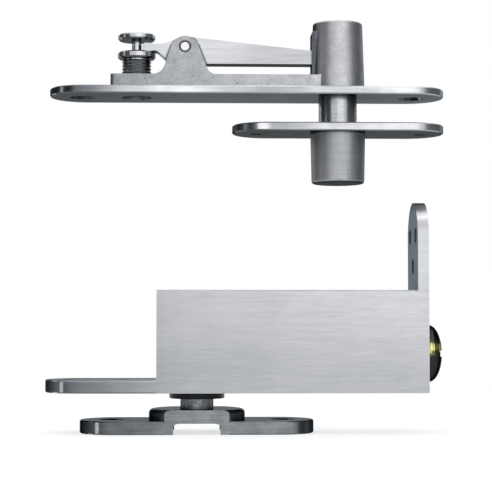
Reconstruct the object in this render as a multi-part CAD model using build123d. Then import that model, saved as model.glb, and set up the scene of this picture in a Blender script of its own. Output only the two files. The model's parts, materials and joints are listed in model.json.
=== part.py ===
"""Pivot door closer: a bottom closer on its floor plate, and the top pivot that goes with it.

Millimetres, +Z up. The origin is on the closer's spindle axis, at the underside of the floor plate.
+X runs along the closer from the flange to the leg. Every solid is built where it sits when the
door is shut and the pivot pin is out.
"""

import math
import os

from build123d import *

# Plates, shared by both sets
plate_width = 33.0
plate_edge = 0.5
running_clearance = 0.05
seal_clearance = 0.05
side_clearance = 0.25

# How far a cutting shape runs past the face it opens, and how close an edge is to a named place
past = 1.0
same_place = 0.01

# Screws that fix the plates
screw_hole_radius = 2.75
screw_sink_radius = 5.5

# Floor plate
floor_plate_length = 107.0
floor_plate_thickness = 6.0
floor_boss_radius = 22.0
floor_boss_height = 11.0
floor_boss_edge = 2.0
floor_recess_radius = 19.6
floor_recess_depth = 5.0
floor_recess_edge = 1.5
floor_screw_spacing = 78.0

# Spindle with its heart cam
spindle_radius = 7.6
spindle_tenon_radius = 5.5
spindle_tenon_flats = 9.0
journal_radius = 5.0
cam_roller_start = 9.2
cam_swing_deg = 110.0
cam_overrun_deg = 4.0
piston_stroke = 6.6
cam_thickness = 9.0
cam_points = 9

# Roller and its pin
roller_radius = 3.9
roller_gap = 0.1
roller_pin_radius = 1.75
roller_side_gap = 0.4
roller_pin_inset = 1.6
yoke_gap = 1.1

# Thrust ball on top of the spindle
ball_radius = 3.0
ball_seat_depth = 2.0

# Closer body
body_left = 18.2
body_right = 104.8
body_bottom = 18.5
body_height = 46.5
body_edge = 0.6
top_wall = 2.85
flange_reach = 51.1
flange_thickness = 5.8
flange_root_radius = 1.2
flange_screw_spacing = 24.0
flange_screw_inset = 11.0
leg_height = 40.5
leg_thickness = 5.0
leg_upper_holes_spacing = 17.2
leg_upper_holes_height = 25.0
leg_lower_hole_height = 11.0
leg_hole_radius = 3.25
leg_sink_radius = 5.6
cylinder_height = 17.5
cylinder_radius = 11.5
chamber_radius = 12.4
chamber_top_gap = 0.6

# Bottom cover round the spindle
cover_radius = 12.65
cover_stand_out = 2.8
cover_top_gap = 0.3
cover_edge = 0.4
cover_lip = 0.4
cover_bore_gap = 0.4
cover_groove_drop = 1.2

# Bushes and seals round the spindle
bush_wall = 2.0
seal_height = 2.0
seal_wall = 2.4
ring_width = 1.8
ring_depth = 1.4

# Piston
piston_length = 28.0
piston_nose = 3.4
piston_crown = 7.8
spring_pocket_radius = 9.4
piston_ring_inset = 6.0
check_passage_radius = 1.4
check_ball_radius = 2.1
check_pocket_radius = 2.4
check_pocket_depth = 5.0
retainer_thickness = 1.5
retainer_hole_radius = 1.0

# Closing spring
spring_outer_radius = 9.1
spring_wire = 2.4
spring_turns = 9.0
spring_seat_gap = 0.3

# End gland and brass regulator
gland_length = 16.8
regulator_shank_radius = 5.0
regulator_shank_length = 20.0
regulator_head_radius = 13.05
regulator_rim = 2.1
regulator_dome = 5.7
regulator_slot_width = 2.9
regulator_slot_depth = 1.9
regulator_seat_gap = 0.1
port_inset = 3.0
port_width = 1.6
port_shift = 1.0
clip_thickness = 1.0
clip_radius = 6.2
clip_groove_depth = 0.8
clip_mouth = 6.0

# Header plate
header_plate_length = 182.0
header_plate_thickness = 3.6
header_plate_bottom = 154.0
header_plate_left = 67.9
header_screw_inset = 14.8

# Casting on the header plate
pin_axis_x = 65.1
screw_axis_x = -28.1
lever_pivot_x = -5.7
lever_pivot_rise = 19.0
rail_width = 18.0
rail_height = 6.3
rail_end_reach = 11.7
rail_corner_radius = 2.0
ear_top_radius = 6.4
ear_top_drop = 1.6
ear_foot_left = 10.8
ear_foot_right = 11.2
ear_fillet_left = 5.5
ear_fillet_right = 4.5
lever_thickness = 8.5
barrel_foot_radius = 12.5
barrel_draft_deg = 1.9
barrel_cap = 2.2
barrel_edge = 1.0
slot_pad_width = 11.6
slot_pad_reach = 12.3
slot_pad_above = 0.7
slot_headroom = 0.8
rivet_radius = 2.2
rivet_head_radius = 3.4
rivet_cover = 2.0
rivet_positions = (-15.5, 14.0, 42.0)

# Lever rivet
lever_pin_radius = 2.25
lever_pin_end_radius = 1.9
lever_pin_sink_radius = 2.9
lever_pin_sink_depth = 0.5

# Pivot pin
pin_radius = 8.85
pin_rest_reach = 8.4
pin_retract = 9.0
pin_edge = 1.0
pin_bridge = 2.0
pin_top_gap = 0.4

# Lever
lever_tip_drop = 4.85
lever_tip_radius = 3.4
lever_tip_gap = 0.1
lever_neck_half = 2.2
lever_nose_arm = 17.9
lever_nose_rise = 0.4
lever_nose_radius = 2.0
lever_waist_reach = 4.5
lever_waist_half = 1.6
lever_shoulder_reach = 5.8
lever_shoulder_rise = 3.4
lever_throat_reach = 9.3
lever_throat_drop = 4.5
lever_under_drop = 7.2
lever_belly_reach = 8.0
lever_crest_reach = 1.0
lever_crest_rise = 5.3
lever_mouth_drop = 0.9

# Adjusting screw and its stud
screw_disc_radius = 8.7
screw_disc_height = 3.0
disc_edge = 0.6
screw_waist_radius = 6.1
screw_waist_length = 0.8
screw_thread_radius = 6.8
screw_thread_depth = 0.6
screw_thread_pitch = 1.5
screw_tip_recess = 3.0
screw_slot_width = 2.0
screw_slot_depth = 2.2
stud_disc_radius = 8.6
stud_disc_height = 2.6
stud_neck_radius = 2.2
stud_tenon_length = 8.0
stud_bore_gap = 0.2
groove_height = 5.6
nose_gap = 0.1

# Door plate and socket
door_plate_length = 98.0
door_plate_thickness = 3.8
door_plate_gap = 12.9
door_screw_spacing = 76.0
socket_top_radius = 12.7
socket_foot_radius = 12.2
socket_length = 26.8
socket_floor = 2.2
socket_edge = 1.3
socket_spigot_radius = 11.2
spigot_gap = 0.02
socket_bush_wall = 1.4
socket_bush_length = 22.0

# Heights and places worked out from the sizes above
half_width = plate_width / 2
body_top = body_bottom + body_height
cylinder_z = body_bottom + cylinder_height
cover_top = cylinder_z - cylinder_radius - cover_top_gap
cam_bottom = cylinder_z - cam_thickness / 2
chamber_top = cylinder_z + cylinder_radius + chamber_top_gap
ball_bore_top = body_top - top_wall
ball_z = ball_bore_top - running_clearance - ball_radius
spindle_top = ball_z - ball_radius + ball_seat_depth
seal_bottom = body_bottom - cover_stand_out + cover_lip
seal_top = seal_bottom + seal_height
cover_groove_top = cover_top - cover_groove_drop
piston_left = cam_roller_start - piston_nose
piston_right = piston_left + piston_length
yoke_bottom_x = cam_roller_start + roller_radius + yoke_gap
crown_right_x = yoke_bottom_x + piston_crown
gland_left = body_right - gland_length
gland_middle = (gland_left + body_right) / 2
cam_rate = piston_stroke / math.radians(cam_swing_deg)

plate_top = header_plate_bottom + header_plate_thickness
rail_top = plate_top + rail_height
lever_pivot_z = plate_top + lever_pivot_rise
tip_z = lever_pivot_z - lever_tip_drop
pin_slot_half = lever_tip_radius + lever_tip_gap
pin_top = tip_z + pin_slot_half + pin_bridge
barrel_bore_top = pin_top + pin_retract + pin_top_gap
barrel_top = barrel_bore_top + barrel_cap
door_plate_top = header_plate_bottom - door_plate_gap
door_plate_bottom = door_plate_top - door_plate_thickness
pin_bottom = door_plate_top - pin_rest_reach
nose_x = lever_pivot_x - lever_nose_arm
nose_z = lever_pivot_z + lever_nose_rise
disc_top = nose_z - lever_nose_radius - nose_gap
screw_tip = header_plate_bottom + screw_tip_recess
mouth_x = pin_axis_x - barrel_foot_radius
mouth_lift = pin_retract * (mouth_x - lever_pivot_x) / (pin_axis_x - lever_pivot_x)
slot_top = lever_pivot_z - lever_mouth_drop + mouth_lift + slot_headroom
pad_top = slot_top + slot_pad_above
lever_gap_half = lever_thickness / 2 + side_clearance


def upright(radius, bottom, top, x=0.0, y=0.0):
    """A round bar along Z between two heights."""
    return Pos(x, y, (bottom + top) / 2) * Cylinder(radius, top - bottom)


def along_x(radius, left, right, z=cylinder_z):
    """A round bar along X on the cylinder's axis between two places."""
    return Pos((left + right) / 2, 0, z) * Rot(0, 90, 0) * Cylinder(radius, right - left)


def across(radius, width, x, z):
    """A round bar along Y, centred on the plane between front and back."""
    return Pos(x, 0, z) * Rot(90, 0, 0) * Cylinder(radius, width)


def block(x_low, x_high, y_low, y_high, z_low, z_high):
    """A box given by its two corners."""
    size = (x_high - x_low, y_high - y_low, z_high - z_low)
    centre = ((x_low + x_high) / 2, (y_low + y_high) / 2, (z_low + z_high) / 2)
    return Pos(*centre) * Box(*size)


def turned(points):
    """A solid of revolution about Z from its half section, given as radius and height."""
    section = Plane.XZ * make_face(Polyline(*points, close=True))
    return revolve(section, Axis.Z)


def ring(outer, inner, bottom, top):
    """A plain ring about Z."""
    return upright(outer, bottom, top) - upright(inner, bottom - past, top + past)


def ring_on_cylinder(outer, inner, left, right):
    """A plain ring about the cylinder's axis."""
    return along_x(outer, left, right) - along_x(inner, left - past, right + past)


def obround(left, right, bottom, top):
    """A flat bar with round ends, its edges eased."""
    length = right - left
    outline = SlotOverall(length, plate_width)
    bar = Pos((left + right) / 2, 0, bottom) * extrude(outline, top - bottom)
    return chamfer(bar.faces().filter_by(Axis.Z).edges(), plate_edge)


def edges_across(shape, x, z):
    """The edges of a shape that run along Y at a given place."""
    return shape.edges().filter_by(Axis.Y).filter_by(
        lambda edge: math.hypot(edge.center().X - x, edge.center().Z - z) < same_place)


def sunk_hole(x, y, bottom, top, from_above, radius=screw_hole_radius, sink=screw_sink_radius):
    """The space of a countersunk screw hole along Z, open at both faces."""
    depth = sink - radius
    hole = upright(radius, bottom - past, top + past, x, y)
    cone = Cone(radius, sink + past, depth + past)
    if from_above:
        return hole + Pos(x, y, top + past - (depth + past) / 2) * cone
    return hole + Pos(x, y, bottom - past + (depth + past) / 2) * Rot(180, 0, 0) * cone


def floor_plate():
    """Pressed bar with a raised round centre, hollow beneath, that carries the spindle."""
    half = floor_plate_length / 2
    bar = obround(-half, half, 0, floor_plate_thickness)
    boss = upright(floor_boss_radius, 0, floor_boss_height)
    boss = fillet(boss.faces().sort_by(Axis.Z)[-1].edges(), floor_boss_edge)
    boss &= block(-half, half, -half_width, half_width, 0, floor_boss_height + past)
    recess = upright(floor_recess_radius, -1, floor_recess_depth)
    recess = fillet(recess.faces().sort_by(Axis.Z)[-1].edges(), floor_recess_edge)
    plate = bar + boss - recess
    plate -= tenon(running_clearance, floor_recess_depth - past, floor_boss_height + past)
    for side in (-1, 1):
        x = side * floor_screw_spacing / 2
        plate -= sunk_hole(x, 0, 0, floor_plate_thickness, True)
    return plate


def tenon(clearance, bottom, top):
    """The spindle's foot: round with two flats, so that it can't turn in the floor plate."""
    half = spindle_tenon_flats / 2 + clearance
    radius = spindle_tenon_radius + clearance
    flats = block(-radius, radius, -half, half, bottom, top)
    return upright(radius, bottom, top) & flats


def cam_profile():
    """Heart cam of constant rise.

    The roller's centre keeps to a spiral that rises evenly with the swing on both sides of a
    notch. The cam's edge is that spiral moved inwards by the roller's radius and its gap, with
    the roller's own arc in the notch and a round back.
    """
    offset = roller_radius + roller_gap
    last = math.radians(cam_swing_deg + cam_overrun_deg)
    spiral = []
    for step in range(cam_points + 1):
        angle = last * step / cam_points
        radius = cam_roller_start + cam_rate * angle
        slope = math.atan2(cam_rate, radius)
        normal = angle - slope
        x = radius * math.cos(angle) - offset * math.cos(normal)
        y = radius * math.sin(angle) - offset * math.sin(normal)
        spiral.append((x, y))
    mirrored = [(x, -y) for x, y in spiral]
    back = math.hypot(*spiral[-1])
    notch = ThreePointArc(mirrored[0], (cam_roller_start - offset, 0), spiral[0])
    edges = [notch, Spline(*spiral), ThreePointArc(spiral[-1], (-back, 0), mirrored[-1])]
    edges.append(Spline(*reversed(mirrored)))
    return make_face(edges)


def cam_spindle():
    """Spindle turned in one piece with its heart cam, standing in the floor plate."""
    spindle = tenon(0, floor_recess_depth, floor_boss_height)
    spindle += upright(spindle_radius, floor_boss_height, cover_top)
    spindle += upright(journal_radius, cover_top, spindle_top)
    spindle += Pos(0, 0, cam_bottom) * extrude(cam_profile(), cam_thickness)
    return spindle - Pos(0, 0, ball_z) * Sphere(ball_radius + running_clearance)


def thrust_ball():
    """Ball that carries the closer, and the door on it, on the end of the spindle."""
    return Pos(0, 0, ball_z) * Sphere(ball_radius)


def closer_body():
    """Body with its flange and leg in one piece, bored for the cylinder and the spindle."""
    body = block(-body_left, body_right, -half_width, half_width, body_bottom, body_top)
    edges = body.edges().filter_by(Axis.X).group_by(Axis.Z)[-1]
    body = chamfer(edges, body_edge)
    flange_left = -body_left - flange_reach
    flange_top = body_bottom + flange_thickness
    flange = obround(flange_left, body_left, body_bottom, flange_top)
    leg = block(body_right - leg_thickness, body_right, -half_width, half_width,
                body_top - body_edge, body_top + leg_height - half_width)
    crown_z = body_top + leg_height - half_width
    leg += along_x(half_width, body_right - leg_thickness, body_right, crown_z)
    body = body + flange + leg
    body = fillet(edges_across(body, -body_left, flange_top), flange_root_radius)
    body -= along_x(cylinder_radius, 0, body_right + past)
    body -= upright(chamber_radius, cover_top, chamber_top)
    body -= upright(cover_radius, body_bottom - past, cover_top)
    body -= upright(journal_radius + bush_wall, chamber_top - past, ball_bore_top)
    for place in (0, 1):
        x = flange_left + flange_screw_inset + place * flange_screw_spacing
        body -= sunk_hole(x, 0, body_bottom, flange_top, False)
    upper_z = body_top + leg_upper_holes_height
    lower_z = body_top + leg_lower_hole_height
    half = leg_upper_holes_spacing / 2
    for y, z in ((-half, upper_z), (half, upper_z), (0, lower_z)):
        body -= leg_hole(y, z)
    return body


def leg_hole(y, z):
    """The space of a screw hole in the leg, sunk from the outer face."""
    depth = leg_sink_radius - leg_hole_radius
    hole = Rot(0, 90, 0) * Cylinder(leg_hole_radius, 3 * leg_thickness)
    cone = Rot(0, 90, 0) * Cone(leg_hole_radius, leg_sink_radius + past, depth + past)
    sink = Pos(body_right + past - (depth + past) / 2, y, z) * cone
    return Pos(body_right - leg_thickness / 2, y, z) * hole + sink


def bottom_cover():
    """Screwed ring that closes the chamber from below and holds the lower bush and seal."""
    bottom = body_bottom - cover_stand_out
    cover = upright(cover_radius, bottom, cover_top)
    cover = chamfer(cover.faces().sort_by(Axis.Z)[0].edges(), cover_edge)
    cover -= upright(spindle_radius + cover_bore_gap, bottom - past, cover_top + past)
    cover -= upright(spindle_radius + seal_wall, seal_bottom, seal_top)
    cover -= upright(spindle_radius + bush_wall, seal_top, cover_top + past)
    return cover - ring(cover_radius + past, cover_radius - ring_depth,
                        cover_groove_top - ring_width, cover_groove_top)


def cover_seal():
    """Ring in the groove round the bottom cover."""
    return ring(cover_radius, cover_radius - ring_depth, cover_groove_top - ring_width,
                cover_groove_top)


def spindle_seal():
    """Seal that wipes the spindle where it enters the cover."""
    return ring(spindle_radius + seal_wall, spindle_radius + seal_clearance, seal_bottom, seal_top)


def lower_bush():
    """Bush in the bottom cover."""
    return ring(spindle_radius + bush_wall, spindle_radius + running_clearance, seal_top,
                cover_top)


def upper_bush():
    """Bush in the body above the cam."""
    return ring(journal_radius + bush_wall, journal_radius + running_clearance, chamber_top,
                spindle_top)


def piston():
    """Piston: two jaws that straddle the cam and hold the roller, a crown and a spring pocket."""
    radius = cylinder_radius - running_clearance
    jaw_half = cam_thickness / 2 + roller_side_gap
    body = along_x(radius, piston_left, piston_right)
    body -= block(piston_left - past, yoke_bottom_x, -radius, radius,
                  cylinder_z - jaw_half, cylinder_z + jaw_half)
    body -= along_x(spring_pocket_radius, crown_right_x, piston_right + past)
    ring_right = piston_right - piston_ring_inset
    body -= ring_on_cylinder(radius + past, radius - ring_depth, ring_right - ring_width, ring_right)
    body -= upright(roller_pin_radius, 0, body_top, cam_roller_start)
    body -= along_x(check_passage_radius, yoke_bottom_x - past, piston_right)
    pocket_left = crown_right_x - check_pocket_depth
    body -= along_x(check_pocket_radius, pocket_left, crown_right_x + past)
    return body


def piston_ring():
    """Ring in the piston's groove."""
    radius = cylinder_radius - running_clearance
    right = piston_right - piston_ring_inset
    return ring_on_cylinder(radius, radius - ring_depth, right - ring_width, right)


def roller_pin():
    """Pin across the piston's jaws."""
    reach = cylinder_radius - roller_pin_inset
    return upright(roller_pin_radius, cylinder_z - reach, cylinder_z + reach, cam_roller_start)


def roller():
    """Roller that runs on the cam."""
    half = cam_thickness / 2
    wheel = ring(roller_radius, roller_pin_radius + running_clearance, cylinder_z - half,
                 cylinder_z + half)
    return Pos(cam_roller_start, 0, 0) * wheel


def check_ball():
    """Ball of the check valve in the piston's crown, on its seat."""
    gap = math.sqrt(check_ball_radius**2 - check_passage_radius**2)
    seat = crown_right_x - check_pocket_depth
    return Pos(seat + gap, 0, cylinder_z) * Sphere(check_ball_radius)


def check_retainer():
    """Pierced disc pressed in behind the check ball."""
    left = crown_right_x - retainer_thickness
    return ring_on_cylinder(check_pocket_radius, retainer_hole_radius, left, crown_right_x)


def closing_spring():
    """Square wire spring between the piston's crown and the gland."""
    mean = spring_outer_radius - spring_wire / 2
    free = gland_left - crown_right_x - 2 * spring_seat_gap - spring_wire
    path = Helix(pitch=free / spring_turns, height=free, radius=mean)
    start = Plane(origin=path @ 0, z_dir=path % 0)
    coil = sweep(start * Rectangle(spring_wire, spring_wire), path=path, is_frenet=True)
    left = crown_right_x + spring_seat_gap + spring_wire / 2
    return Pos(left, 0, cylinder_z) * Rot(0, 90, 0) * coil


def end_gland():
    """Gland that closes the cylinder and carries the regulator."""
    gland = along_x(cylinder_radius, gland_left, body_right)
    gland -= along_x(regulator_shank_radius + running_clearance, gland_left - past, body_right + past)
    left = gland_middle - ring_width / 2
    right = gland_middle + ring_width / 2
    groove = ring_on_cylinder(cylinder_radius + past, cylinder_radius - ring_depth, left, right)
    inner = along_x(regulator_shank_radius + ring_depth, left, right)
    return gland - groove - inner


def gland_seal():
    """Ring in the groove round the gland."""
    return ring_on_cylinder(cylinder_radius, cylinder_radius - ring_depth,
                            gland_middle - ring_width / 2, gland_middle + ring_width / 2)


def regulator_seal():
    """Ring inside the gland that seals the regulator's shank."""
    return ring_on_cylinder(regulator_shank_radius + ring_depth,
                            regulator_shank_radius + seal_clearance,
                            gland_middle - ring_width / 2, gland_middle + ring_width / 2)


def regulator():
    """Brass regulator: domed head with a screwdriver slot, and a shank with a metering groove."""
    face = body_right + regulator_seat_gap
    rim = face + regulator_rim
    tip = rim + regulator_dome
    head = along_x(regulator_head_radius, face, rim)
    outline = [Line((0, 0), (0, regulator_dome)),
               EllipticalCenterArc((0, 0), regulator_head_radius, regulator_dome, arc_size=90),
               Line((0, 0), (regulator_head_radius, 0))]
    dome = revolve(Plane.XZ * make_face(outline), Axis.Z)
    head += Pos(rim, 0, cylinder_z) * Rot(0, 90, 0) * dome
    half = regulator_slot_width / 2
    reach = regulator_head_radius + past
    head -= block(tip - regulator_slot_depth, tip + past, -reach, reach,
                  cylinder_z - half, cylinder_z + half)
    shank_left = body_right - regulator_shank_length
    shank = along_x(regulator_shank_radius, shank_left, face)
    clip_right = gland_left - running_clearance
    shank -= ring_on_cylinder(regulator_shank_radius + past,
                              regulator_shank_radius - clip_groove_depth,
                              clip_right - clip_thickness, clip_right)
    port = Pos(gland_left + port_inset, port_shift, cylinder_z) * Rot(0, 90, 0) * (
        Cylinder(regulator_shank_radius + port_shift, port_width)
        - Cylinder(regulator_shank_radius, 2 * port_width))
    return head + (shank - port)


def regulator_clip():
    """Open spring clip behind the gland that keeps the regulator in."""
    right = gland_left - running_clearance
    inner = regulator_shank_radius - clip_groove_depth
    clip = ring_on_cylinder(clip_radius, inner, right - clip_thickness, right)
    mouth = block(right - 2 * clip_thickness, right + past, -clip_mouth / 2, clip_mouth / 2,
                  cylinder_z - clip_radius - past, cylinder_z)
    return clip - mouth


def header_plate():
    """Plate let into the head of the frame, with holes for the pin and the adjusting screw."""
    right = header_plate_length - header_plate_left
    plate = obround(-header_plate_left, right, header_plate_bottom, plate_top)
    for x in (-header_plate_left + header_screw_inset, right - header_screw_inset):
        plate -= sunk_hole(x, 0, header_plate_bottom, plate_top, False)
    plate -= upright(pin_radius + running_clearance, 0, barrel_top, pin_axis_x)
    plate -= upright(screw_thread_radius + running_clearance, 0, barrel_top, screw_axis_x)
    for x in rivet_positions:
        plate -= rivet_space(x)
    return plate


def rivet_space(x):
    """The shape of a rivet that fixes the casting, its head flush with the plate's underside."""
    sink = rivet_head_radius - rivet_radius
    points = [(0, header_plate_bottom), (rivet_head_radius, header_plate_bottom),
              (rivet_radius, header_plate_bottom + sink), (rivet_radius, rail_top - rivet_cover),
              (0, rail_top - rivet_cover)]
    return Pos(x, 0, 0) * turned(points)


def casting_rivets():
    """Flush rivets through the header plate into the casting."""
    return Compound(children=[rivet_space(x) for x in rivet_positions])


def ear_outline():
    """Side view of an ear: a round top, straight flanks and hollow feet on the rail."""
    base = rail_top
    foot_left = lever_pivot_x - ear_foot_left
    foot_right = lever_pivot_x + ear_foot_right
    left = Line((foot_left, base - past), (foot_left, base))
    crown = (lever_pivot_x, lever_pivot_z - ear_top_drop + ear_top_radius)
    left_flank = tangent_flank(foot_left, base, -1)
    right_flank = tangent_flank(foot_right, base, 1)
    top_arc = ThreePointArc(left_flank, crown, right_flank)
    edges = [left, Line((foot_left, base), left_flank), top_arc,
             Line(right_flank, (foot_right, base)), Line((foot_right, base), (foot_right, base - past)),
             Line((foot_right, base - past), (foot_left, base - past))]
    return make_face(edges)


def tangent_flank(foot_x, foot_z, side):
    """Where a straight flank from its foot touches the round top of the ear."""
    centre_x = lever_pivot_x
    centre_z = lever_pivot_z - ear_top_drop
    dx = centre_x - foot_x
    dz = centre_z - foot_z
    reach = math.hypot(dx, dz)
    aim = math.atan2(dz, dx)
    spread = math.asin(ear_top_radius / reach)
    length = math.sqrt(reach**2 - ear_top_radius**2)
    angle = aim - side * spread
    return (foot_x + length * math.cos(angle), foot_z + length * math.sin(angle))


def header_casting():
    """Cast carrier: a rail, two ears for the lever, and the barrel that guides the pin."""
    half = rail_width / 2
    rail = block(screw_axis_x - rail_end_reach, pin_axis_x, -half, half, plate_top, rail_top)
    rail = fillet(rail.edges().filter_by(Axis.Z).group_by(Axis.X)[0], rail_corner_radius)
    body = rail + extrude(Plane.XZ * ear_outline(), half, both=True)
    body = fillet(edges_across(body, lever_pivot_x - ear_foot_left, rail_top), ear_fillet_left)
    body = fillet(edges_across(body, lever_pivot_x + ear_foot_right, rail_top), ear_fillet_right)
    body -= block(screw_axis_x, mouth_x, -lever_gap_half, lever_gap_half, rail_top, barrel_top)
    body += barrel()
    body -= upright(pin_radius + running_clearance, 0, barrel_bore_top, pin_axis_x)
    body -= upright(screw_thread_radius + running_clearance, 0, rail_top + past, screw_axis_x)
    body -= block(pin_axis_x - slot_pad_reach - past, pin_axis_x, -lever_gap_half, lever_gap_half,
                  rail_top, slot_top)
    body -= across(lever_pin_radius, 2 * rail_width, lever_pivot_x, lever_pivot_z)
    for side in (-1, 1):
        sink = Cone(lever_pin_radius, lever_pin_sink_radius, lever_pin_sink_depth)
        y = side * (half - lever_pin_sink_depth / 2)
        body -= Pos(lever_pivot_x, y, lever_pivot_z) * Rot(-side * 90, 0, 0) * sink
    for x in rivet_positions:
        body -= rivet_space(x)
    return body


def barrel():
    """Round barrel with casting draft, and a flat pad round the mouth of its slot."""
    height = barrel_top - plate_top
    top_radius = barrel_foot_radius - height * math.tan(math.radians(barrel_draft_deg))
    cone = Pos(pin_axis_x, 0, plate_top + height / 2) * Cone(
        barrel_foot_radius, top_radius, height)
    cone = fillet(cone.faces().sort_by(Axis.Z)[-1].edges(), barrel_edge)
    half = slot_pad_width / 2
    pad = block(pin_axis_x - slot_pad_reach, pin_axis_x, -half, half, plate_top, pad_top)
    upper = pad.faces().sort_by(Axis.X)[0].edges().sort_by(Axis.Z)[-1]
    return cone + chamfer(upper, slot_pad_above)


def lever_pin():
    """Rivet through the ears, its ends spread into the sinks."""
    half = rail_width / 2
    pin = across(lever_pin_radius, rail_width - 2 * lever_pin_sink_depth, lever_pivot_x,
                 lever_pivot_z)
    for side in (-1, 1):
        y = side * (half - lever_pin_sink_depth / 2)
        end = Cone(lever_pin_radius, lever_pin_end_radius, lever_pin_sink_depth)
        pin += Pos(lever_pivot_x, y, lever_pivot_z) * Rot(-side * 90, 0, 0) * end
    return pin


def lever():
    """Walking beam: a round nose in the screw's groove, a deep middle and a tapered right arm.

    The arm necks down inside the barrel and ends in a round tip that lifts the pin.
    """
    under_z = lever_pivot_z - lever_under_drop
    mouth_top = lever_pivot_z - lever_mouth_drop
    neck_x = pin_axis_x - pin_radius
    waist_x = nose_x + lever_waist_reach
    crest = (lever_pivot_x + lever_crest_reach, lever_pivot_z + lever_crest_rise)
    upper = [
        (nose_x, nose_z + lever_nose_radius),
        (waist_x, nose_z + lever_waist_half),
        (lever_pivot_x - lever_shoulder_reach, lever_pivot_z + lever_shoulder_rise),
        crest,
    ]
    lower = [
        (lever_pivot_x + lever_belly_reach, under_z),
        (lever_pivot_x - lever_throat_reach, lever_pivot_z - lever_throat_drop),
        (waist_x, nose_z - lever_waist_half),
        (nose_x, nose_z - lever_nose_radius),
    ]
    fall = (mouth_top - crest[1]) / (mouth_x - crest[0])
    top = Spline(*upper, tangents=((1, 0), (1, fall)))
    under = Spline(*lower, tangents=((-1, 0), (-1, 0)))
    nose = ThreePointArc(lower[-1], (nose_x - lever_nose_radius, nose_z), upper[0])
    tip_top = (neck_x, tip_z + lever_neck_half)
    tip_under = (neck_x, tip_z - lever_neck_half)
    outline = [nose, top, Line(crest, (mouth_x, mouth_top)),
               Line((mouth_x, mouth_top), tip_top),
               Line(tip_top, (pin_axis_x, tip_z + lever_neck_half)),
               Line((pin_axis_x, tip_z + lever_neck_half), (pin_axis_x, tip_z - lever_neck_half)),
               Line((pin_axis_x, tip_z - lever_neck_half), tip_under),
               Line(tip_under, (mouth_x, under_z)), Line((mouth_x, under_z), lower[0]), under]
    beam = extrude(Plane.XZ * make_face(outline), lever_thickness / 2, both=True)
    beam += across(lever_tip_radius, lever_thickness, pin_axis_x, tip_z)
    return beam - across(lever_pin_radius + running_clearance, 2 * rail_width, lever_pivot_x,
                         lever_pivot_z)


def pivot_pin():
    """Pin that slides in the barrel, slotted across for the lever's tip."""
    pin = upright(pin_radius, pin_bottom, pin_top, pin_axis_x)
    pin = chamfer(pin.faces().sort_by(Axis.Z)[0].edges(), pin_edge)
    slot = block(pin_axis_x - 2 * pin_radius, pin_axis_x + 2 * pin_radius, -lever_gap_half,
                 lever_gap_half, tip_z - pin_slot_half, tip_z + pin_slot_half)
    return pin - slot


def thread_points(bottom, top):
    """Half section of the rings that stand for the screw's thread, from the bottom up."""
    turns = int((top - bottom) / screw_thread_pitch)
    pitch = (top - bottom) / turns
    root = screw_thread_radius - screw_thread_depth
    points = [(root, bottom)]
    for turn in range(turns):
        points.append((screw_thread_radius, bottom + (turn + 0.5) * pitch))
        points.append((root, bottom + (turn + 1) * pitch))
    return points[:-1]


def adjusting_screw():
    """Screw turned from below through the plate, with the disc that carries the lever's nose."""
    disc_bottom = disc_top - screw_disc_height
    waist_bottom = disc_bottom - screw_waist_length
    screw = turned([
        (0, screw_tip),
        *thread_points(screw_tip, waist_bottom),
        (screw_waist_radius, waist_bottom),
        (screw_waist_radius, disc_bottom),
        (screw_disc_radius - disc_edge, disc_bottom),
        (screw_disc_radius, disc_bottom + disc_edge),
        (screw_disc_radius, disc_top - disc_edge),
        (screw_disc_radius - disc_edge, disc_top),
        (0, disc_top),
    ])
    bore_bottom = disc_top - stud_tenon_length - stud_bore_gap
    screw -= upright(stud_neck_radius + running_clearance, bore_bottom, disc_top + past)
    half = screw_slot_width / 2
    reach = screw_thread_radius + past
    screw -= block(-reach, reach, -half, half, screw_tip - past, screw_tip + screw_slot_depth)
    return Pos(screw_axis_x, 0, 0) * screw


def adjuster_stud():
    """Stud in the top of the screw: a neck for the lever's nose and the upper disc."""
    bottom = disc_top + groove_height
    top = bottom + stud_disc_height
    points = [
        (0, disc_top - stud_tenon_length),
        (stud_neck_radius, disc_top - stud_tenon_length),
        (stud_neck_radius, bottom),
        (stud_disc_radius - disc_edge, bottom),
        (stud_disc_radius, bottom + disc_edge),
        (stud_disc_radius, top - disc_edge),
        (stud_disc_radius - disc_edge, top),
        (0, top),
    ]
    return Pos(screw_axis_x, 0, 0) * turned(points)


def door_plate():
    """Plate let into the top of the door, with the socket under it."""
    half = door_plate_length / 2
    plate = obround(pin_axis_x - half, pin_axis_x + half, door_plate_bottom, door_plate_top)
    plate -= upright(socket_spigot_radius + spigot_gap, 0, plate_top, pin_axis_x)
    for side in (-1, 1):
        x = pin_axis_x + side * door_screw_spacing / 2
        plate -= sunk_hole(x, 0, door_plate_bottom, door_plate_top, True)
    return plate


def door_socket():
    """Cast socket, its spigot set flush into the door plate."""
    bottom = door_plate_bottom - socket_length + door_plate_thickness
    height = door_plate_bottom - bottom
    cup = Pos(pin_axis_x, 0, bottom + height / 2) * Cone(
        socket_foot_radius, socket_top_radius, height)
    cup = fillet(cup.faces().sort_by(Axis.Z)[0].edges(), socket_edge)
    cup += upright(socket_spigot_radius, door_plate_bottom, door_plate_top, pin_axis_x)
    bore = pin_radius + running_clearance
    cup -= upright(bore, bottom + socket_floor, door_plate_top + past, pin_axis_x)
    seat = door_plate_top - socket_bush_length
    return cup - upright(bore + socket_bush_wall, seat, door_plate_top + past, pin_axis_x)


def socket_bush():
    """Bush in the socket that the pin turns in."""
    bore = pin_radius + running_clearance
    bush = ring(bore + socket_bush_wall, bore, door_plate_top - socket_bush_length, door_plate_top)
    return Pos(pin_axis_x, 0, 0) * bush


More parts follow.
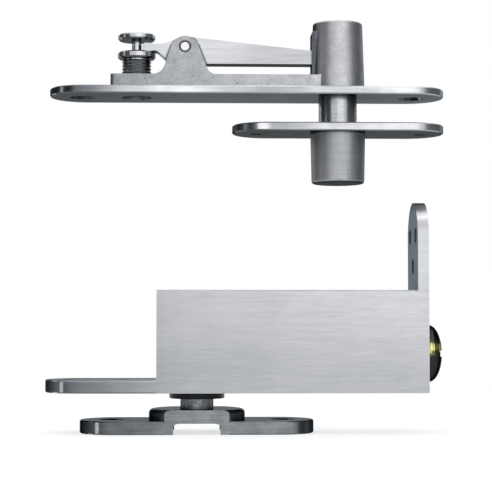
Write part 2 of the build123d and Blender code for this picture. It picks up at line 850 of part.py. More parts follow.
pieces = {
    "floor_plate": floor_plate,
    "cam_spindle": cam_spindle,
    "thrust_ball": thrust_ball,
    "closer_body": closer_body,
    "bottom_cover": bottom_cover,
    "cover_seal": cover_seal,
    "spindle_seal": spindle_seal,
    "lower_bush": lower_bush,
    "upper_bush": upper_bush,
    "piston": piston,
    "piston_ring": piston_ring,
    "roller_pin": roller_pin,
    "roller": roller,
    "check_ball": check_ball,
    "check_retainer": check_retainer,
    "closing_spring": closing_spring,
    "end_gland": end_gland,
    "gland_seal": gland_seal,
    "regulator": regulator,
    "regulator_seal": regulator_seal,
    "regulator_clip": regulator_clip,
    "header_plate": header_plate,
    "header_casting": header_casting,
    "casting_rivets": casting_rivets,
    "lever_pin": lever_pin,
    "lever": lever,
    "pivot_pin": pivot_pin,
    "adjusting_screw": adjusting_screw,
    "adjuster_stud": adjuster_stud,
    "door_plate": door_plate,
    "door_socket": door_socket,
    "socket_bush": socket_bush,
}

os.makedirs("parts", exist_ok=True)
for name, make in pieces.items():
    export_step(make(), f"parts/{name}.step")
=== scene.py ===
"""Looks of the pivot door closer: materials, light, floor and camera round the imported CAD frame.

Metres, in the frame of the CAD. Seen from the front, which is towards -Y, with the flange to the left.
"""

import json
import math

import bpy
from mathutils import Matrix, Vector


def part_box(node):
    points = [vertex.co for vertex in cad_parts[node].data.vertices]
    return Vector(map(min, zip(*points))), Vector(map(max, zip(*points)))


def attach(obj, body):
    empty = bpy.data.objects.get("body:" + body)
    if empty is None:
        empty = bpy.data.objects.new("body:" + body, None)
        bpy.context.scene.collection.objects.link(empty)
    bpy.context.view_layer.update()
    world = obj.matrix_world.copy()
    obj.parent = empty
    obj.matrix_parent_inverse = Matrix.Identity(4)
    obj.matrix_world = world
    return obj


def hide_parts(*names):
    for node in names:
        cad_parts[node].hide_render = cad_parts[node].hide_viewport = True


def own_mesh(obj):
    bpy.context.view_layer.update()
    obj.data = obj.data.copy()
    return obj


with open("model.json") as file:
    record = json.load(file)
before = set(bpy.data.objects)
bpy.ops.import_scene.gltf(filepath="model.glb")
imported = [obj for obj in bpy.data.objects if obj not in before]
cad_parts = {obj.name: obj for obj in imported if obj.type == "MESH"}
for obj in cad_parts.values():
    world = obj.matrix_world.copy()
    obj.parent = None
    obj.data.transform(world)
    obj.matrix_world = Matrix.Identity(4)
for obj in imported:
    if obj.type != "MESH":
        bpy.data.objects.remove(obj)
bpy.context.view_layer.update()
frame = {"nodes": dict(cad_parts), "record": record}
nodes = frame["nodes"]

MM = 0.001

# Camera: in front of the closer, low, looking slightly up
CAMERA_PLACE = Vector((0.0, -696.5, 52.0)) * MM
PICTURE_CENTRE = Vector((22.0, -16.5, 84.7)) * MM
SENSOR_WIDTH = 36.0
PICTURE_WIDTH = 492
MM_PER_PIXEL = 0.4497
CLIP_START = 0.01
CLIP_END = 20

# Soft boxes: name, place, width, height, way they face, radiance
BOXES = (
    ("front_box", (0.26, -0.76, 0.24), 0.60, 0.60, (0, 1, 0), 0.55),
    ("back_box", (0.02, 0.80, 0.30), 0.60, 0.60, (0, -1, 0), 0.4),
    ("top_box", (0.02, 0.0, 1.0), 1.2, 1.0, (0, 0, -1), 1.2),
    ("left_strip", (-0.47, -0.08, 0.25), 0.03, 0.6, (1, 0, 0), 2.2),
)

# Dark cards at both sides, which round metal mirrors as dark flanks: name, x, reach in y, radiance
CARDS = (
    ("left_card", -0.50, (-0.58, 0.40), 0.08),
    ("right_card", 0.60, (-0.42, 0.36), 0.14),
)
CARD_TOP = 0.70
WORLD_COLOUR = (0.93, 0.96, 1.0)
WORLD_STRENGTH = 0.5

# Floor: its half width and tone, how much of its white comes from the lamps, so that the object's shadow
# stays on it, how bright the lamps leave a white floor there, and how far out the shadow shows
FLOOR_REACH = 3.0
FLOOR_TONE = 0.86
FLOOR_LIT_SHARE = 0.45
LAMP_LEVEL = 0.66
SHADOW_REACH = 0.16
SHADOW_FADE = 0.34

# Tints of bright metal, of dark metal, and of parts that have none
COOL = (0.985, 1.0, 1.045)
SLATE = (0.92, 1.0, 1.04)
NEUTRAL = (1.0, 1.0, 1.0)

# The levels between which most of Blender's noise lies, and the sharpness of its detail
NOISE_LOW = 0.3
NOISE_HIGH = 0.7
NOISE_ROUGHNESS = 0.6

# Sockets of the mix node for two vectors
VECTOR_A = 4
VECTOR_B = 5
VECTOR_RESULT = 1

# Width of a painted highlight stripe, as a change of the way the surface faces
STRIPE_REACH = 0.07
STRIPE_CORE = 0.4 * STRIPE_REACH


def middle(name):
    """Middle of a node's box."""
    low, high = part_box(name)
    return (Vector(low) + Vector(high)) / 2


PIN_AXIS = middle("pivot_pin")
LEVER_PIVOT = middle("lever_pin")
REGULATOR_AXIS = middle("regulator")
SCREW_AXIS = middle("adjusting_screw")

# Ears of the casting: half their width at the lever's pivot, how much they narrow with height, and
# the reach of their round top from the pivot
EAR_HALF_WIDTH = 6.5 * MM
EAR_SLOPE = 0.39
EAR_TOP_REACH = 5.6 * MM

# The two upper plates: their screw holes from the ends, the tone of their underside, which is painted shade,
# how dark their left end is painted and how far that reaches, how bright the painted highlight stripe on it
# is, and how much flats mirror at a slant
PLATES = {
    "header_plate": {"inset": 14.8 * MM, "flat": 0.37, "start": 0.30, "reach": 75.0 * MM, "glint_gain": 3.0,
                     "grazing": 0.25},
    "door_plate": {"inset": 11.0 * MM, "flat": 0.05, "start": 0.45, "reach": 36.0 * MM, "glint_gain": 1.6,
                   "grazing": 0.12},
}

# Streaks along the plates' edges, partly brushing marks and partly painted reflections: where each change of
# tone starts and ends, in millimetres from the left end of the plate, and the factor past it
STREAKS = {
    "header_plate": ((18, 33, 1.8), (36, 104, 0.35), (108, 126, 1.62)),
    "door_plate": ((10.5, 12, 2.8), (13.5, 18, 0.36), (17, 27, 0.75), (31, 42, 1.6), (48, 58, 0.84)),
    "floor_plate": ((98.3, 100, 0.35), (101.5, 103, 2.4)),
}

# Top of the casting's rail, a little over the rivets in it
RAIL_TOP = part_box("casting_rivets")[1][2] + 2.0 * MM

# From one turned ring of the brass to the next
RING_PITCH = 1.309 * MM

# Screw holes of the leg, from its middle and under its top
LEG_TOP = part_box("closer_body")[1][2]
LEG_HOLES = [Vector((0, y * MM, LEG_TOP - drop * MM)) for y, drop in ((-8.6, 15.5), (8.6, 15.5), (0, 29.5))]


def add(tree, kind, **settings):
    """A node of a kind with its settings."""
    node = tree.nodes.new(kind)
    for key, value in settings.items():
        setattr(node, key, value)
    return node


def feed(tree, target, value):
    """Links a socket to an input, or writes a plain value there."""
    if isinstance(value, bpy.types.NodeSocket):
        tree.links.new(value, target)
    else:
        target.default_value = value


def calc(tree, operation, first, second=0.0):
    """The result of a sum with two values."""
    node = add(tree, "ShaderNodeMath", operation=operation)
    feed(tree, node.inputs[0], first)
    feed(tree, node.inputs[1], second)
    return node.outputs[0]


def spread(tree, value, low, high, to_low, to_high):
    """A value eased from one range into another and held at its ends."""
    node = add(tree, "ShaderNodeMapRange", interpolation_type="SMOOTHSTEP")
    for key, amount in (("Value", value), ("From Min", low), ("From Max", high),
                        ("To Min", to_low), ("To Max", to_high)):
        feed(tree, node.inputs[key], amount)
    return node.outputs["Result"]


def place(tree, scale=(1, 1, 1)):
    """Object coordinates, stretched along each axis."""
    source = add(tree, "ShaderNodeTexCoord")
    mapping = add(tree, "ShaderNodeMapping")
    mapping.inputs["Scale"].default_value = scale
    tree.links.new(source.outputs["Object"], mapping.inputs["Vector"])
    return mapping.outputs["Vector"]


def noise(tree, scale, detail=3.0):
    """Noise in object space; the scale is the number of spots in a metre along each axis."""
    node = add(tree, "ShaderNodeTexNoise")
    tree.links.new(place(tree, scale), node.inputs["Vector"])
    node.inputs["Scale"].default_value = 1.0
    node.inputs["Detail"].default_value = detail
    node.inputs["Roughness"].default_value = NOISE_ROUGHNESS
    return node.outputs["Fac"]


def spots(tree, scale, size):
    """Scattered round spots: 1 in their middle and 0 between them."""
    node = add(tree, "ShaderNodeTexVoronoi")
    tree.links.new(place(tree, scale), node.inputs["Vector"])
    node.inputs["Scale"].default_value = 1.0
    return spread(tree, node.outputs["Distance"], 0.0, size, 1.0, 0.0)


def facing(tree, axis):
    """How far the surface faces along an axis of the object, from -1 to 1."""
    source = add(tree, "ShaderNodeTexCoord")
    parts = add(tree, "ShaderNodeSeparateXYZ")
    tree.links.new(source.outputs["Normal"], parts.inputs[0])
    return parts.outputs["XYZ".index(axis)]


def coordinate(tree, axis):
    """One coordinate of the surface in the object's frame."""
    parts = add(tree, "ShaderNodeSeparateXYZ")
    tree.links.new(place(tree), parts.inputs[0])
    return parts.outputs["XYZ".index(axis)]


def distance(tree, axis, centre):
    """Distance from a line along an axis through a point."""
    total = 0.0
    for index, letter in enumerate("XYZ"):
        if letter != axis:
            side = calc(tree, "SUBTRACT", coordinate(tree, letter), centre[index])
            total = calc(tree, "ADD", total, calc(tree, "MULTIPLY", side, side))
    return calc(tree, "SQRT", total)


def times(tree, *factors):
    """The product of values."""
    result = factors[0]
    for factor in factors[1:]:
        result = calc(tree, "MULTIPLY", result, factor)
    return result


class Finish:
    """A finish that is put together step by step: tone, tint, roughness and relief."""

    def __init__(self, name, roughness, tint=COOL, metallic=1.0, grazing=0.25):
        self.material = bpy.data.materials.new(name)
        self.material.use_nodes = True
        self.tree = self.material.node_tree
        self.shader = self.tree.nodes["Principled BSDF"]
        self.shader.inputs["Metallic"].default_value = metallic
        self.shader.inputs["Specular Tint"].default_value = (*(grazing * part for part in SLATE), 1)
        self.tint = tint
        self.dark_tint = [a * b for a, b in zip(tint, SLATE)]
        self.tint_range = (0.08, 0.5)
        self.tone = 1.0
        self.roughness = roughness
        self.normal = None

    def grain(self, scale, low, high, swing=0.0, bump=0.0, depth=0.1 * MM, detail=3.0):
        """Noise that sets the tone between two levels, and may move roughness and relief."""
        value = noise(self.tree, scale, detail)
        level = spread(self.tree, value, NOISE_LOW, NOISE_HIGH, low, high)
        self.tone = times(self.tree, self.tone, level)
        if swing:
            change = spread(self.tree, value, NOISE_LOW, NOISE_HIGH, swing, -swing)
            self.roughness = calc(self.tree, "ADD", self.roughness, change)
        if bump:
            self.relief(value, bump, depth)

    def relief(self, height, strength, depth):
        """Bumps from a height, laid over those before."""
        node = add(self.tree, "ShaderNodeBump")
        node.inputs["Strength"].default_value = strength
        node.inputs["Distance"].default_value = depth
        self.tree.links.new(height, node.inputs["Height"])
        if self.normal:
            self.tree.links.new(self.normal, node.inputs["Normal"])
        self.normal = node.outputs["Normal"]

    def fade(self, axis, start, end, at_start, at_end):
        """Scales the tone along an axis, from one place to another."""
        level = spread(self.tree, coordinate(self.tree, axis), start, end, at_start, at_end)
        self.tone = times(self.tree, self.tone, level)

    def streaks(self, name):
        """Lighter and darker stretches along the edge of a plate, partly brushing marks and partly painted
        reflections, and none on its flats.
        """
        side = calc(self.tree, "ABSOLUTE", facing(self.tree, "Z"))
        side = spread(self.tree, side, 0.3, 0.7, 1.0, 0.0)
        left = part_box(name)[0][0]
        for start, end, factor in STREAKS[name]:
            here = coordinate(self.tree, "X")
            change = spread(self.tree, here, left + start * MM, left + end * MM, 0.0, factor - 1)
            level = calc(self.tree, "ADD", 1.0, times(self.tree, side, change))
            self.tone = times(self.tree, self.tone, level)

    def faces(self, axis, factor, start=0.55, end=0.9, way=0):
        """Paints shade on faces that look along an axis, by scaling their tone: way 1 or -1 is one side
        only, 0 is both.
        """
        turned = facing(self.tree, axis)
        turned = calc(self.tree, "MULTIPLY", turned, way) if way else calc(self.tree, "ABSOLUTE", turned)
        self.tone = times(self.tree, self.tone, spread(self.tree, turned, start, end, 1.0, factor))

    def painted_glint_stripe(self, turned, gain):
        """A painted highlight stripe down the round left end, where it has turned that far to the left."""
        level = calc(self.tree, "ADD", facing(self.tree, "X"), turned)
        level = calc(self.tree, "ABSOLUTE", level)
        level = spread(self.tree, level, STRIPE_CORE, STRIPE_REACH, gain, 1.0)
        self.tone = times(self.tree, self.tone, level)

    def around(self, axis, centre, inner, outer, at_centre):
        """Scales the tone near a line along an axis."""
        reach = distance(self.tree, axis, centre)
        level = spread(self.tree, reach, inner, outer, at_centre, 1.0)
        self.tone = times(self.tree, self.tone, level)

    def pits(self, scale, size, factor, bump=0.0, depth=0.2 * MM, where=1.0):
        """Small scattered marks, darker or lighter, that may be sunk, where the last value is 1."""
        value = times(self.tree, spots(self.tree, scale, size), where)
        level = spread(self.tree, value, 0.0, 1.0, 1.0, factor)
        self.tone = times(self.tree, self.tone, level)
        if bump:
            self.relief(calc(self.tree, "SUBTRACT", 1.0, value), bump, depth)

    def done(self):
        """Wires the tone, roughness and relief to the shader."""
        tint = add(self.tree, "ShaderNodeMix", data_type="VECTOR")
        feed(self.tree, tint.inputs["Factor"], spread(self.tree, self.tone, *self.tint_range, 0.0, 1.0))
        tint.inputs[VECTOR_A].default_value = self.dark_tint
        tint.inputs[VECTOR_B].default_value = self.tint
        scale = add(self.tree, "ShaderNodeVectorMath", operation="SCALE")
        self.tree.links.new(tint.outputs[VECTOR_RESULT], scale.inputs[0])
        feed(self.tree, scale.inputs["Scale"], self.tone)
        self.tree.links.new(scale.outputs[0], self.shader.inputs["Base Color"])
        feed(self.tree, self.shader.inputs["Roughness"], self.roughness)
        if self.normal:
            self.tree.links.new(self.normal, self.shader.inputs["Normal"])
        return self.material


def along(axis, fine, ratio=45.0):
    """Scale of brushing along an axis: fine across it and long along it."""
    return tuple(fine / ratio if letter == axis else fine for letter in "XYZ")


def brushed(name, tone, axis, roughness, contrast, tint=COOL, fine=2600.0, grazing=0.25):
    """Brushed metal: fine and coarse strokes along one axis and a soft cloud."""
    finish = Finish(name, roughness, tint, grazing=grazing)
    finish.tone = tone
    finish.grain(along(axis, fine), 1 - contrast, 1 + contrast, swing=0.02, bump=0.12, depth=0.06 * MM)
    finish.grain(along(axis, fine / 5, 30.0), 1 - contrast / 2, 1 + contrast / 2, detail=2.0)
    finish.grain((45, 45, 45), 0.97, 1.03, detail=2.0)
    return finish


def plate_finish(name):
    """Plate with bright brushed edges, flats painted dark as shade, and painted shadow that makes it darker
    round the pin.
    """
    look = PLATES[name]
    finish = brushed(f"{name}_steel", 0.50, "X", 0.28, 0.10, grazing=look["grazing"])
    # Painted shade on the underside and on the top
    finish.faces("Z", look["flat"], way=-1)
    finish.faces("Z", 0.5, way=1)
    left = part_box(name)[0][0]
    # Painted shade, darker towards the left end
    finish.fade("X", left + 4 * MM, left + look["reach"], look["start"], 1.0)
    finish.fade("X", PIN_AXIS.x - 60 * MM, PIN_AXIS.x, 1.0, 1.2)
    # Painted highlight stripe down the round left end
    finish.painted_glint_stripe(0.61, look["glint_gain"])
    # Streaks, partly brushing marks and partly painted reflections
    finish.streaks(name)
    finish.grain((70, 70, 70), 0.9, 1.1, detail=4.0)
    # Painted shadow round the pivot pin
    finish.around("Z", PIN_AXIS, 10 * MM, 30 * MM, 0.7)
    finish.pits((700, 700, 700), 0.12, 0.6, bump=0.2)
    # Painted shade in the countersunk screw holes
    for hole in screw_holes(name, look["inset"]):
        finish.around("Z", hole, 6.0 * MM, 6.8 * MM, 0.35)
    return finish.done()


def floor_finish():
    """Floor plate: dull brushed edges, and painted shade on its top and bottom, on its ends and towards its
    left end.
    """
    finish = brushed("floor_plate_steel", 0.25, "X", 0.34, 0.16)
    # Painted shade on the top and bottom and on the ends
    finish.faces("Z", 0.2)
    finish.faces("X", 0.35, 0.3, 0.8)
    # Painted highlight stripe down the round left end
    finish.painted_glint_stripe(0.47, 5.0)
    # Streaks, partly brushing marks and partly painted reflections
    finish.streaks("floor_plate")
    # Painted shade, darker towards the left end
    finish.fade("X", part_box("floor_plate")[0][0] + 10 * MM, 0.0, 0.56, 1.0)
    finish.grain((160, 160, 160), 0.85, 1.1)
    return finish.done()


def body_finish():
    """Closer body: long light brushing, painted shade on its flats above and at the ends, at the leg's top,
    at the end of the flange and in the leg's screw holes, and painted light towards the top.
    """
    finish = brushed("body_steel", 0.485, "X", 0.36, 0.035, fine=3200.0, grazing=0.3)
    finish.grain(along("X", 260, 12), 0.98, 1.02)
    finish.grain(along("X", 900, 9), 0.96, 1.04, detail=2.0)
    # Painted shade on the ends, on the flats above and below, and at the top of the leg
    finish.faces("X", 0.5)
    finish.faces("Z", 0.62, 0.85, 0.98)
    finish.fade("Z", LEG_TOP - 5.0 * MM, LEG_TOP - 0.5 * MM, 1.0, 0.35)
    # Painted highlight stripe down the flange's round left end
    finish.painted_glint_stripe(0.48, 4.0)
    finish.pits(along("X", 420, 8), 0.10, 1.12)
    # Painted shade, darker towards the flange's end
    finish.fade("X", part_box("closer_body")[0][0], 0.0, 0.34, 0.95)
    finish.fade("X", 30 * MM, 60 * MM, 1.0, 1.06)
    # Painted light, lighter towards the top
    finish.fade("Z", 20 * MM, 65 * MM, 0.89, 1.08)
    # Painted shade in the leg's screw holes
    for hole in LEG_HOLES:
        finish.around("X", hole, 3.2 * MM, 4.2 * MM, 0.3)
    return finish.done()


def casting_finish():
    """Sand cast carrier: grainy and pitted, smoother on its barrel, with painted shade on a pad beside the
    barrel, on its flats and in the gap round the rivet.
    """
    finish = Finish("cast_metal", 0.42)
    finish.tone = 0.40
    finish.grain((1500, 1500, 1500), 0.90, 1.08, swing=0.05, bump=0.35, depth=0.12 * MM, detail=4.0)
    finish.grain((190, 190, 190), 0.90, 1.08, bump=0.2, depth=0.3 * MM)
    tree = finish.tree
    along_x = coordinate(tree, "X")
    rough = spread(tree, along_x, PIN_AXIS.x - 16 * MM, PIN_AXIS.x - 13 * MM, 1.0, 0.0)
    finish.pits((330, 330, 330), 0.20, 0.55, bump=0.5, where=rough)
    finish.pits((260, 260, 410), 0.13, 1.5)
    finish.fade("X", PIN_AXIS.x - 13.5 * MM, PIN_AXIS.x - 12.5 * MM, 1.0, 1.15)
    # Painted shade on the pad's face beside the barrel, over the rail and past the ears
    over_rail = spread(tree, coordinate(tree, "Z"), RAIL_TOP - 0.3 * MM, RAIL_TOP + 0.3 * MM, 0.0, 1.0)
    past_ears = spread(tree, along_x, PIN_AXIS.x - 20 * MM, PIN_AXIS.x - 18 * MM, 0.0, 1.0)
    painted_pad_shade = spread(tree, along_x, PIN_AXIS.x - 10.6 * MM, PIN_AXIS.x - 9.7 * MM, 0.8, 0.0)
    pad = calc(tree, "SUBTRACT", 1.0, times(tree, over_rail, past_ears, painted_pad_shade))
    finish.tone = times(tree, finish.tone, pad)
    # Painted shade on the upper and lower faces
    finish.faces("Z", 0.7, 0.8, 0.97)
    finish.fade("X", SCREW_AXIS.x - 10 * MM, SCREW_AXIS.x + 20 * MM, 0.84, 1.0)
    finish.fade("X", LEVER_PIVOT.x + 5 * MM, LEVER_PIVOT.x + 30 * MM, 1.0, 1.12)
    # Painted shade in the gap round the rivet
    finish.around("Y", LEVER_PIVOT, 2.7 * MM, 3.0 * MM, 0.4)
    return finish.done()


def socket_finish():
    """Cast socket with faint turned rings, a dark foot, and painted shade on its end faces."""
    finish = Finish("socket_metal", 0.44)
    finish.tone = 0.40
    finish.grain((1500, 1500, 1500), 0.93, 1.06, bump=0.25, detail=4.0)
    finish.grain((60, 60, 900), 0.95, 1.05, bump=0.1)
    finish.grain((300, 300, 60), 0.93, 1.06, bump=0.2, depth=0.2 * MM)
    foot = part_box("door_socket")[0][2]
    finish.fade("Z", foot, foot + 1.2 * MM, 0.45, 1.0)
    # Painted shade on the end faces
    finish.faces("Z", 0.25)
    return finish.done()


def lever_finish():
    """Lever: brushed along its length, with painted light towards its left end, painted shade on its
    underside and top, and painted shadow beside the ears.
    """
    finish = brushed("lever_steel", 0.45, "X", 0.34, 0.07)
    # Painted light, lighter towards the left end
    finish.fade("X", 0.0, 45 * MM, 1.3, 1.0)
    finish.grain(along("X", 330, 25), 0.95, 1.05)
    # Painted shade on the upper and lower faces
    finish.faces("Z", 0.12, 0.7, 0.95)
    finish.pits((420, 420, 420), 0.12, 1.2)
    tree = finish.tree
    # Painted shadow of the ears on the lever, beside their flanks and round their tops
    reach = calc(tree, "ABSOLUTE", calc(tree, "SUBTRACT", coordinate(tree, "X"), LEVER_PIVOT.x))
    rise = calc(tree, "SUBTRACT", coordinate(tree, "Z"), LEVER_PIVOT.z)
    flank = calc(tree, "ADD", reach, times(tree, rise, EAR_SLOPE))
    over = calc(tree, "SUBTRACT", distance(tree, "Y", LEVER_PIVOT), EAR_TOP_REACH - EAR_HALF_WIDTH)
    top = spread(tree, rise, 1 * MM, 2 * MM, 0.0, 1.0)
    flank = calc(tree, "MAXIMUM", flank, times(tree, over, top))
    painted_ear_shadow = spread(tree, flank, EAR_HALF_WIDTH + 0.3 * MM, EAR_HALF_WIDTH + 1.4 * MM, 0.25, 1.0)
    finish.tone = times(tree, finish.tone, painted_ear_shadow)
    return finish.done()


def round_bar(name, tone, roughness):
    """Turned steel with fine rings about its upright axis."""
    finish = Finish(name, roughness)
    finish.tone = tone
    finish.grain((90, 90, 3500), 0.9, 1.1, swing=0.04, bump=0.12, depth=0.05 * MM)
    finish.grain((220, 220, 220), 0.9, 1.08)
    return finish


def screw_finish():
    """Dark polished screw, with painted shade on its end faces, and darker on its thread."""
    finish = round_bar("screw_steel", 0.56, 0.2)
    # Painted shade on the upper and lower faces
    finish.faces("Z", 0.22)
    thread_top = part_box("adjusting_screw")[1][2] - 3.5 * MM
    finish.fade("Z", thread_top - 1 * MM, thread_top, 0.7, 1.0)
    finish.pits((600, 600, 600), 0.15, 0.6)
    return finish.done()


def rivet_finish():
    """Bright peened end of the lever's rivet."""
    finish = Finish("bright_steel", 0.3, NEUTRAL)
    finish.tone = 0.76
    finish.grain((900, 900, 900), 0.9, 1.03, bump=0.6, depth=0.2 * MM)
    return finish.done()


def spindle_finish():
    """Forged, dark and mottled spindle."""
    finish = Finish("spindle_steel", 0.42)
    finish.tone = 0.27
    finish.grain((900, 900, 900), 0.7, 1.25, swing=0.06, bump=0.4, depth=0.2 * MM)
    finish.grain((260, 260, 260), 0.8, 1.15)
    return finish.done()


def brass_finish():
    """Brass painted dark as the shade it mirrors, with a painted highlight in a band above its slot, and
    turned in rings.
    """
    finish = Finish("brass", 0.27, (1.0, 0.96, 0.40))
    tree = finish.tree
    # Near-neutral tint of the painted dark
    finish.dark_tint = (1.0, 1.0, 0.9)
    finish.tint_range = (0.03, 0.12)
    rings = calc(tree, "SINE", calc(tree, "MULTIPLY", coordinate(tree, "X"), math.tau / RING_PITCH))
    finish.relief(rings, 0.2, 0.1 * MM)
    height = calc(tree, "SUBTRACT", coordinate(tree, "Z"), REGULATOR_AXIS.z)
    wander = spread(tree, noise(tree, (300, 300, 300)), NOISE_LOW, NOISE_HIGH, -0.8 * MM, 0.8 * MM)
    height = calc(tree, "ADD", height, wander)
    lower = spread(tree, height, 0.6 * MM, 1.6 * MM, 0.0, 1.0)
    upper = spread(tree, height, 3.4 * MM, 5.4 * MM, 1.0, 0.0)
    # Painted highlight in a band above the slot, broken by the turned rings, with a fainter painted glow
    # round it
    bright = times(tree, lower, upper, spread(tree, rings, -0.8, 0.6, 0.5, 1.0))
    below = spread(tree, height, -2.5 * MM, 1.4 * MM, 0.0, 1.0)
    above = spread(tree, height, 4.0 * MM, 8.5 * MM, 1.0, 0.0)
    band = calc(tree, "MAXIMUM", bright, times(tree, below, above, 0.27))
    finish.tone = spread(tree, band, 0.0, 1.0, 0.03, 0.75)
    return finish.done()


def plain_metal(name, tone, roughness, tint=COOL):
    """Machined metal of the pieces inside."""
    return brushed(name, tone, "Z", roughness, 0.08, tint).done()


def seal_finish(name, tone, roughness):
    """Black rubber or black coated steel."""
    finish = Finish(name, roughness, NEUTRAL, metallic=0.0)
    finish.tone = tone
    finish.grain((1500, 1500, 1500), 0.7, 1.3, bump=0.2)
    return finish.done()


def screw_holes(name, inset):
    """The places of the two screw holes of a plate, one inset from each end."""
    low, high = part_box(name)
    return [Vector((low[0] + inset, 0, 0)), Vector((high[0] - inset, 0, 0))]


# Finishes by the material slot of the record, and those of single nodes
FINISHES = {
    "hard_steel": plain_metal("ground_steel", 0.56, 0.25),
    "spring_steel": plain_metal("spring_steel", 0.30, 0.35),
    "bush_bronze": plain_metal("bush_bronze", 0.62, 0.35, (1.0, 0.74, 0.42)),
    "seal_rubber": seal_finish("seal_rubber", 0.02, 0.6),
    "black_steel": seal_finish("black_steel", 0.018, 0.38),
    "spindle_steel": spindle_finish(),
    "body_steel": body_finish(),
    "brass": brass_finish(),
    "cast_metal": casting_finish(),
    "socket_metal": socket_finish(),
    "bright_steel": rivet_finish(),
    "lever_steel": lever_finish(),
    "pin_steel": round_bar("pin_steel", 0.46, 0.24).done(),
    "screw_steel": screw_finish(),
}
header_steel = plate_finish("header_plate")
OWN_FINISHES = {
    "header_plate": header_steel,
    "door_plate": plate_finish("door_plate"),
    "floor_plate": floor_finish(),
    "casting_rivets": header_steel,
}


def dress_nodes():
    """Gives each CAD node its own finish, or that of its slot in the record."""
    slots = {part["node"]: part["material_slot"] for part in frame["record"]["subparts"]}
    for name, thing in nodes.items():
        finish = OWN_FINISHES.get(name) or FINISHES[slots[name]]
        for holder in thing.material_slots:
            holder.material = finish
        if not thing.material_slots:
            thing.data.materials.append(finish)


def make_spring():
    """The closing spring again, as a piece of its own with its own mesh, parented to the closer's body."""
    coils = nodes["closing_spring"]
    piece = bpy.data.objects.new("pressed_spring", coils.data.copy())
    piece.matrix_world = coils.matrix_world
    bpy.context.scene.collection.objects.link(piece)
    piece.data.materials.clear()
    piece.data.materials.append(FINISHES["spring_steel"])
    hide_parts("closing_spring")
    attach(piece, "closer")
    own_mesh(piece)


def bare_material(name):
    """A material with an empty node tree, and that tree."""
    material = bpy.data.materials.new(name)
    material.use_nodes = True
    material.node_tree.nodes.clear()
    return material, material.node_tree


def flat_sheet(name, corners):
    """One flat face with four corners, in the scene."""
    mesh = bpy.data.meshes.new(name)
    mesh.from_pydata(corners, [], [(0, 1, 2, 3)])
    sheet = bpy.data.objects.new(name, mesh)
    bpy.context.scene.collection.objects.link(sheet)
    return sheet


def make_floor():
    """A pale floor that shows white, apart from the object's shadow on it."""
    half = FLOOR_REACH
    floor = flat_sheet("floor", [(-half, -half, 0), (half, -half, 0), (half, half, 0), (-half, half, 0)])
    material, tree = bare_material("floor_white")
    matt = add(tree, "ShaderNodeBsdfDiffuse")
    matt.inputs["Color"].default_value = (FLOOR_TONE, FLOOR_TONE, FLOOR_TONE, 1)
    shown = add(tree, "ShaderNodeBsdfDiffuse")
    shown.inputs["Color"].default_value = (FLOOR_LIT_SHARE,) * 3 + (1,)
    glow = add(tree, "ShaderNodeEmission")
    glow.inputs["Strength"].default_value = 1 - FLOOR_LIT_SHARE * LAMP_LEVEL
    both = add(tree, "ShaderNodeAddShader")
    tree.links.new(shown.outputs[0], both.inputs[0])
    tree.links.new(glow.outputs[0], both.inputs[1])
    white = add(tree, "ShaderNodeEmission")
    near = add(tree, "ShaderNodeMixShader")
    reach = distance(tree, "Z", middle("floor_plate"))
    feed(tree, near.inputs["Fac"], spread(tree, reach, SHADOW_REACH, SHADOW_FADE, 0.0, 1.0))
    tree.links.new(both.outputs[0], near.inputs[1])
    tree.links.new(white.outputs[0], near.inputs[2])
    mix = add(tree, "ShaderNodeMixShader")
    tree.links.new(seen_ray(tree), mix.inputs["Fac"])
    tree.links.new(matt.outputs[0], mix.inputs[1])
    tree.links.new(near.outputs[0], mix.inputs[2])
    out = add(tree, "ShaderNodeOutputMaterial")
    tree.links.new(mix.outputs[0], out.inputs["Surface"])
    floor.data.materials.append(material)


def seen_ray(tree):
    """1 for rays that show the surroundings: the camera's own, and those off metal or through glass."""
    rays = add(tree, "ShaderNodeLightPath").outputs
    mirrored = calc(tree, "MAXIMUM", rays["Is Glossy Ray"], rays["Is Transmission Ray"])
    return calc(tree, "MAXIMUM", rays["Is Camera Ray"], mirrored)


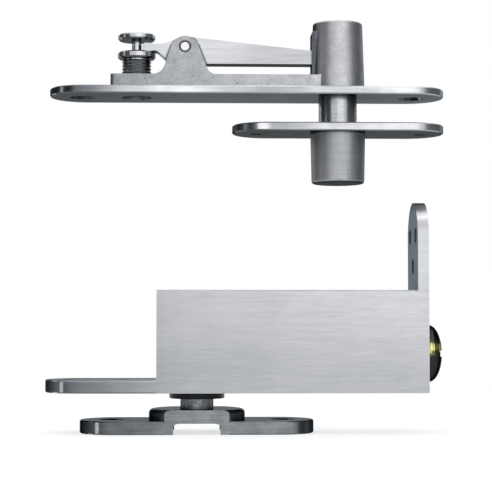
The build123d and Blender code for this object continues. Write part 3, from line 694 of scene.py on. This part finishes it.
def make_cards():
    """Dark cards that only the metal's reflections see."""
    for name, x, (front, back), radiance in CARDS:
        material, tree = bare_material(name)
        dark = add(tree, "ShaderNodeEmission")
        dark.inputs["Color"].default_value = (*SLATE, 1)
        dark.inputs["Strength"].default_value = radiance
        out = add(tree, "ShaderNodeOutputMaterial")
        tree.links.new(dark.outputs[0], out.inputs["Surface"])
        card = flat_sheet(name, [(x, front, 0), (x, back, 0), (x, back, CARD_TOP), (x, front, CARD_TOP)])
        card.data.materials.append(material)
        card.visible_camera = False
        card.visible_diffuse = False
        card.visible_shadow = False


def make_world():
    """Even studio light, and white behind the object."""
    world = bpy.data.worlds.new("studio")
    bpy.context.scene.world = world
    world.use_nodes = True
    tree = world.node_tree
    tree.nodes.clear()
    light = add(tree, "ShaderNodeBackground")
    light.inputs["Color"].default_value = (*WORLD_COLOUR, 1)
    light.inputs["Strength"].default_value = WORLD_STRENGTH
    white = add(tree, "ShaderNodeBackground")
    white.inputs["Color"].default_value = (1, 1, 1, 1)
    mix = add(tree, "ShaderNodeMixShader")
    out = add(tree, "ShaderNodeOutputWorld")
    tree.links.new(seen_ray(tree), mix.inputs["Fac"])
    tree.links.new(light.outputs["Background"], mix.inputs[1])
    tree.links.new(white.outputs["Background"], mix.inputs[2])
    tree.links.new(mix.outputs["Shader"], out.inputs["Surface"])


def make_lamps():
    """Soft boxes of a given radiance."""
    for name, spot, width, height, way, radiance in BOXES:
        data = bpy.data.lights.new(name, "AREA")
        data.shape = "RECTANGLE"
        data.size = width
        data.size_y = height
        data.energy = math.pi * width * height * radiance
        lamp = bpy.data.objects.new(name, data)
        lamp.location = spot
        lamp.rotation_euler = Vector(way).to_track_quat("-Z", "Y").to_euler()
        bpy.context.scene.collection.objects.link(lamp)


def make_camera():
    """Camera at the photograph's viewing angle."""
    data = bpy.data.cameras.new("camera")
    camera = bpy.data.objects.new("camera", data)
    bpy.context.scene.collection.objects.link(camera)
    aim = PICTURE_CENTRE - CAMERA_PLACE
    camera.location = CAMERA_PLACE
    camera.rotation_euler = aim.to_track_quat("-Z", "Y").to_euler()
    reach = PICTURE_CENTRE.y - CAMERA_PLACE.y
    data.sensor_width = SENSOR_WIDTH
    data.lens = SENSOR_WIDTH * reach / (PICTURE_WIDTH * MM_PER_PIXEL * MM)
    data.clip_start = CLIP_START
    data.clip_end = CLIP_END
    bpy.context.scene.camera = camera


bpy.context.scene.view_settings.view_transform = "Standard"
dress_nodes()
make_spring()
make_floor()
make_cards()
make_world()
make_lamps()
make_camera()
